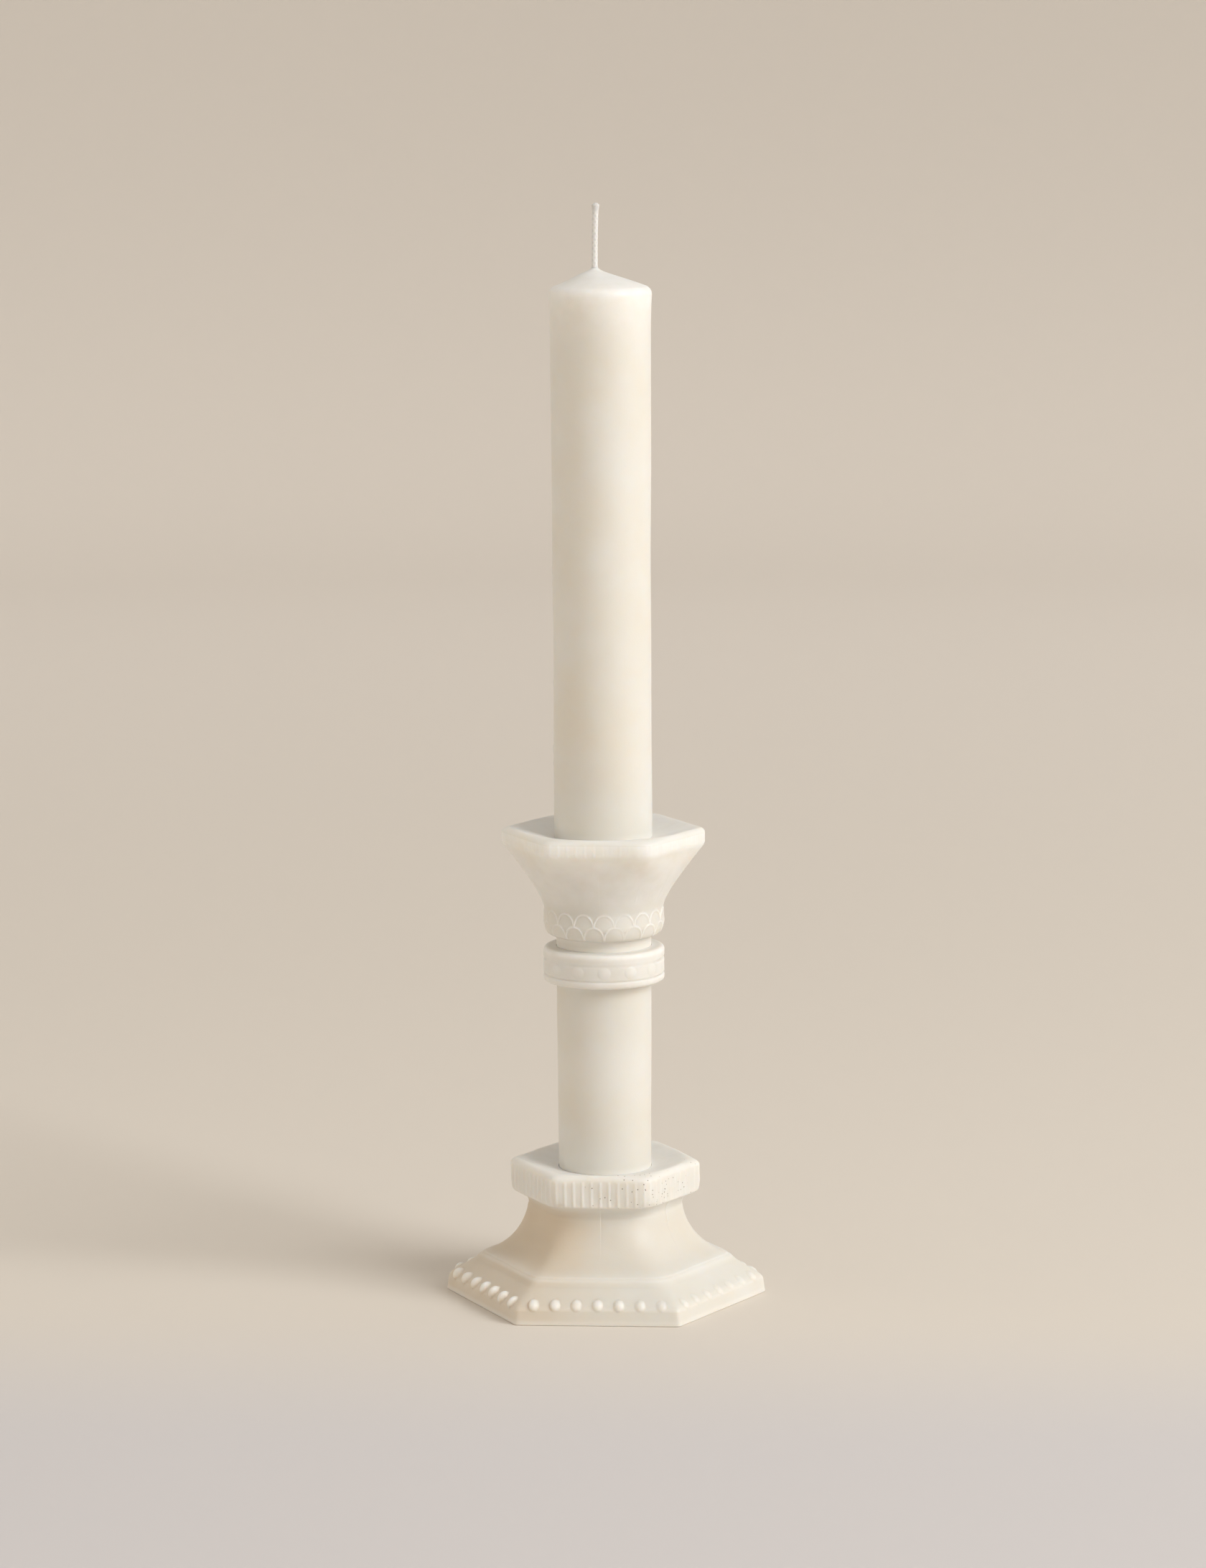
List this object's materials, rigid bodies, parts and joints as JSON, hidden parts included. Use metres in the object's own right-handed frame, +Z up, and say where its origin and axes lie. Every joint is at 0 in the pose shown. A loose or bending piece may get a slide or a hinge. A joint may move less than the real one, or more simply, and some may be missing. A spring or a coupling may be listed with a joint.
{
  "type": "unity candle",
  "caption": "Wax unity candle shaped as a slim candle in a candlestick: hexagonal foot with a pearl border, fluted collar, round stem, ring and flared hexagonal cup.",
  "frame": {"origin": "centre of the foot's underside, on the table", "axes": "+Z up along the candle's axis, +X through a corner of the hexagonal foot, -Y towards the viewer through the middle of a side"},
  "size_m": [0.0732, 0.0634, 0.2467],
  "materials": {
    "foot_wax": "cast ivory wax, satin, translucent at thin edges",
    "collar_wax": "cast ivory wax, satin, with fine air pinholes",
    "stem_wax": "cast ivory wax, smooth satin",
    "ring_wax": "cast ivory wax, satin",
    "cup_wax": "cast ivory wax, satin, translucent at the rim",
    "candle_wax": "cast ivory wax, smooth satin",
    "plug_wax": "poured ivory wax, slightly rippled",
    "primed_cotton": "braided cotton stiffened with wax",
    "tinned_steel": "bright pressed tinplate"
  },
  "bodies": {
    "root": {"foot": "foot_wax", "foot_collar": "collar_wax", "stem": "stem_wax", "ring_collar": "ring_wax", "cup": "cup_wax", "candle": "candle_wax", "base_plug": "plug_wax", "wick": "primed_cotton", "wick_sustainer": "tinned_steel"}
  },
  "joints": []
}
